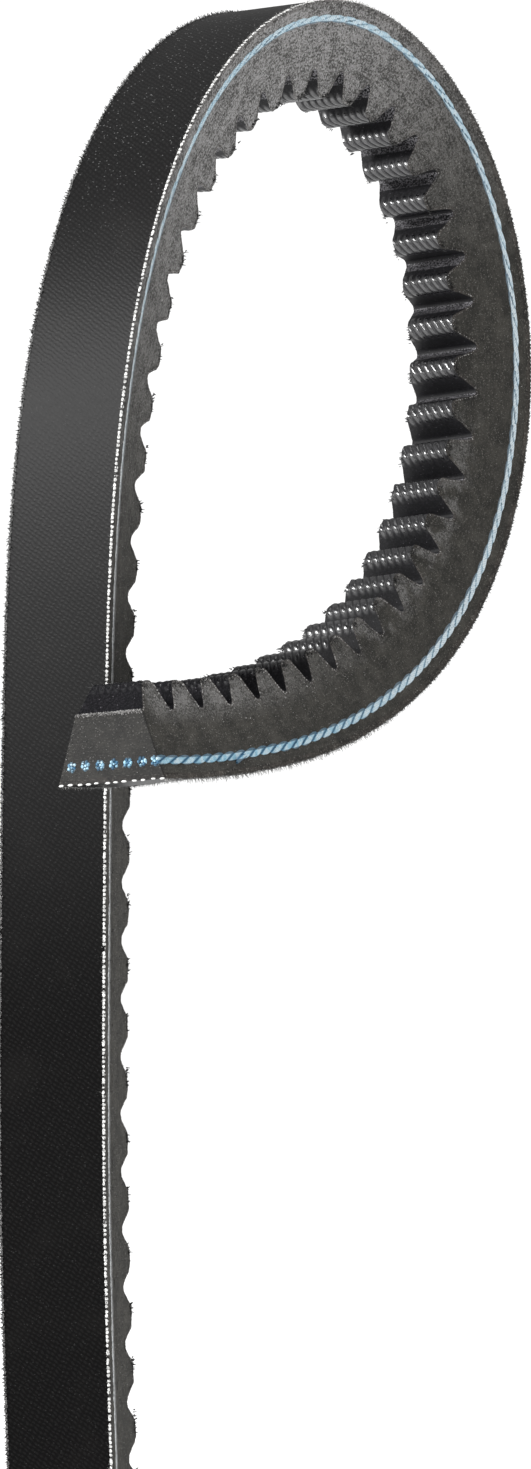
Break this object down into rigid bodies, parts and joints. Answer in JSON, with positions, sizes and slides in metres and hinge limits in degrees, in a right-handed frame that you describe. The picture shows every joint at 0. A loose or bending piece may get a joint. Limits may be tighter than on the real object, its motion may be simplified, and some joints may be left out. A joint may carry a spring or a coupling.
{
  "type": "v belt",
  "caption": "Cut length of raw-edge cogged V-belt bent into an open loop, with backing fabric, tensile cords, rubber plies and moulded cogs.",
  "frame": {"origin": "middle of the belt's section at the tail end, where the belt is cut square across a cog", "axes": "+Z out of the tail end up the belt, +Y from the belt's back to its cogs and -Y out of the back, +X towards the near flank, the side on which the free end crosses the tail"},
  "size_m": [0.0343, 0.1061, 0.2249],
  "materials": {
    "back_fabric": "black twill woven backing, rubber-impregnated, matte",
    "overcord_rubber": "cut and ground dark grey rubber, matte",
    "tensile_cord": "light blue twisted and dipped polyester cord",
    "adhesion_gum": "cut and ground dark grey rubber, matte",
    "compression_rubber": "fibre-filled dark grey rubber, ground flanks, matte",
    "cog_facing": "rubberised facing fabric moulded over the cogs, fine ribs, satin"
  },
  "bodies": {
    "tail": {"tail_back_fabric": "back_fabric", "tail_overcord_rubber": "overcord_rubber", "tail_cord_1": "tensile_cord", "tail_cord_2": "tensile_cord", "tail_cord_3": "tensile_cord", "tail_cord_4": "tensile_cord", "tail_cord_5": "tensile_cord", "tail_cord_6": "tensile_cord", "tail_cord_7": "tensile_cord", "tail_adhesion_gum": "adhesion_gum", "tail_compression_rubber": "compression_rubber", "tail_cog_facing": "cog_facing"},
    "loop": {"loop_back_fabric": "back_fabric", "loop_overcord_rubber": "overcord_rubber", "loop_cord_1": "tensile_cord", "loop_cord_2": "tensile_cord", "loop_cord_3": "tensile_cord", "loop_cord_4": "tensile_cord", "loop_cord_5": "tensile_cord", "loop_cord_6": "tensile_cord", "loop_cord_7": "tensile_cord", "loop_adhesion_gum": "adhesion_gum", "loop_compression_rubber": "compression_rubber", "loop_cog_facing": "cog_facing"},
    "free_end": {"free_end_back_fabric": "back_fabric", "free_end_overcord_rubber": "overcord_rubber", "free_end_cord_1": "tensile_cord", "free_end_cord_2": "tensile_cord", "free_end_cord_3": "tensile_cord", "free_end_cord_4": "tensile_cord", "free_end_cord_5": "tensile_cord", "free_end_cord_6": "tensile_cord", "free_end_cord_7": "tensile_cord", "free_end_adhesion_gum": "adhesion_gum", "free_end_compression_rubber": "compression_rubber", "free_end_cog_facing": "cog_facing"}
  },
  "joints": [
    {"name": "tail_flex", "type": "hinge", "parent": "tail", "child": "loop", "pos_m": [-0.00191, 0.00525, 0.18026], "axis": [-1, 0, 0], "range_deg": [-15, 15], "stiffness_Nm_per_rad": 1.5},
    {"name": "free_end_flex", "type": "hinge", "parent": "loop", "child": "free_end", "pos_m": [0.01177, 0.07036, 0.14362], "axis": [-1, 0, 0], "range_deg": [-15, 15], "stiffness_Nm_per_rad": 1.5}
  ]
}
